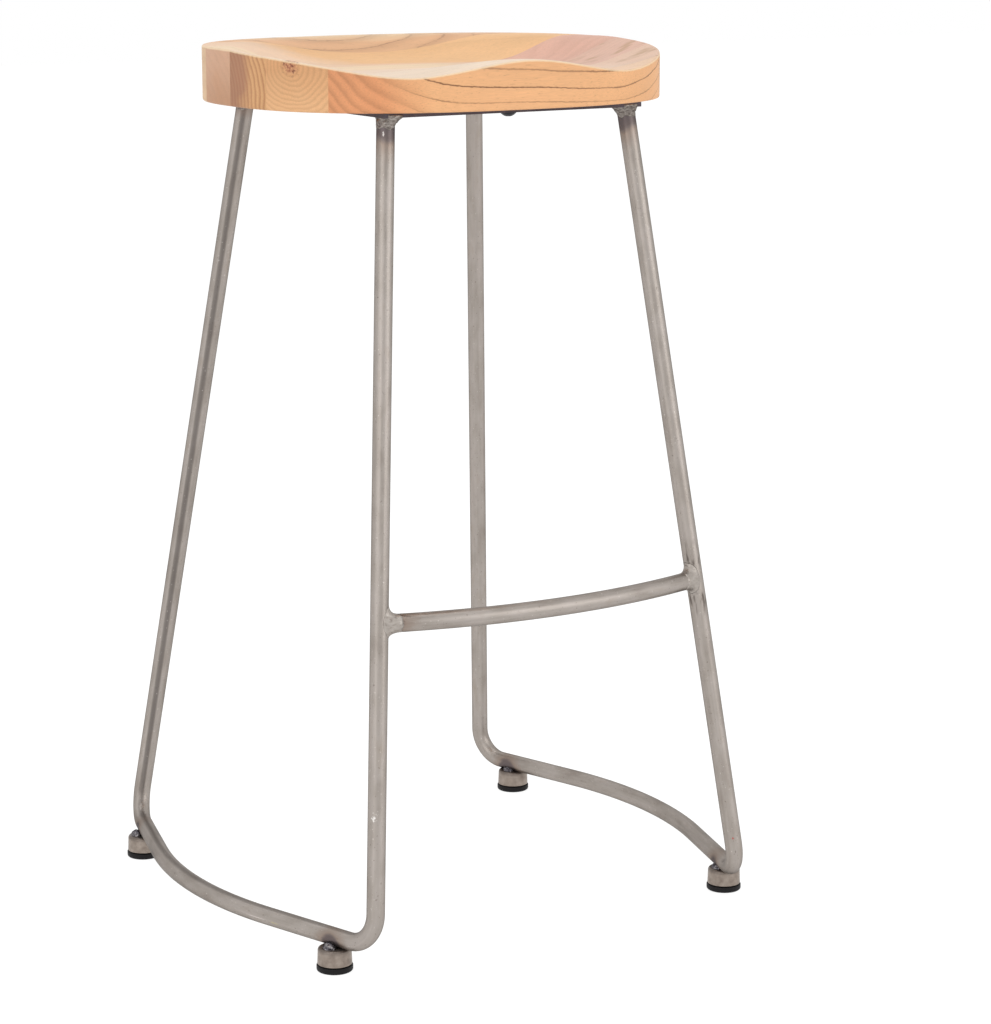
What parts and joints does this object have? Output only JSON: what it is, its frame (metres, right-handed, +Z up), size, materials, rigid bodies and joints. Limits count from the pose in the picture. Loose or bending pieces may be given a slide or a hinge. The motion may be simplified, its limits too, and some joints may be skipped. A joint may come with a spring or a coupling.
{
  "type": "bar stool",
  "caption": "Backless bar stool with a carved wooden saddle seat on bent steel tube sleds, a bowed footrest and screw-in floor glides.",
  "frame": {"origin": "on the floor, under the middle of the base", "axes": "+Z up; the sitter faces -Y; +X to the right as seen from the front"},
  "size_m": [0.509, 0.4699, 0.7828],
  "materials": {
    "seat_wood": "satin clear lacquer",
    "tube_steel": "raw mill steel under clear lacquer",
    "seat_bar_steel": "dark raw flat bar",
    "weld_steel": "raw weld bead under clear lacquer",
    "bolt_black": "black oxide",
    "insert_brass": "turned",
    "zinc_steel": "zinc plated",
    "glide_plastic": "matt moulded"
  },
  "bodies": {
    "stool": {"seat_stave_1": "seat_wood", "seat_stave_2": "seat_wood", "seat_stave_3": "seat_wood", "seat_stave_4": "seat_wood", "seat_stave_5": "seat_wood", "seat_stave_6": "seat_wood", "seat_bar_front": "seat_bar_steel", "seat_bar_rear": "seat_bar_steel", "seat_bar_left": "seat_bar_steel", "seat_bar_right": "seat_bar_steel", "left_sled_tube": "tube_steel", "right_sled_tube": "tube_steel", "footrest_bar": "tube_steel", "foot_cup_front_left": "tube_steel", "foot_cup_front_right": "tube_steel", "foot_cup_rear_left": "tube_steel", "foot_cup_rear_right": "tube_steel", "leg_top_welds": "weld_steel", "footrest_welds": "weld_steel", "foot_welds": "weld_steel", "seat_bolts": "bolt_black", "seat_inserts": "insert_brass", "foot_nuts": "zinc_steel"},
    "glide_front_left": {"glide_pad_front_left": "glide_plastic", "glide_stud_front_left": "zinc_steel"},
    "glide_front_right": {"glide_pad_front_right": "glide_plastic", "glide_stud_front_right": "zinc_steel"},
    "glide_rear_left": {"glide_pad_rear_left": "glide_plastic", "glide_stud_rear_left": "zinc_steel"},
    "glide_rear_right": {"glide_pad_rear_right": "glide_plastic", "glide_stud_rear_right": "zinc_steel"}
  },
  "joints": [
    {"name": "glide_front_left_height", "type": "slide", "parent": "stool", "child": "glide_front_left", "axis": [0, 0, -1], "range_m": [0, 0.004]},
    {"name": "glide_front_right_height", "type": "slide", "parent": "stool", "child": "glide_front_right", "axis": [0, 0, -1], "range_m": [0, 0.004]},
    {"name": "glide_rear_left_height", "type": "slide", "parent": "stool", "child": "glide_rear_left", "axis": [0, 0, -1], "range_m": [0, 0.004]},
    {"name": "glide_rear_right_height", "type": "slide", "parent": "stool", "child": "glide_rear_right", "axis": [0, 0, -1], "range_m": [0, 0.004]}
  ]
}
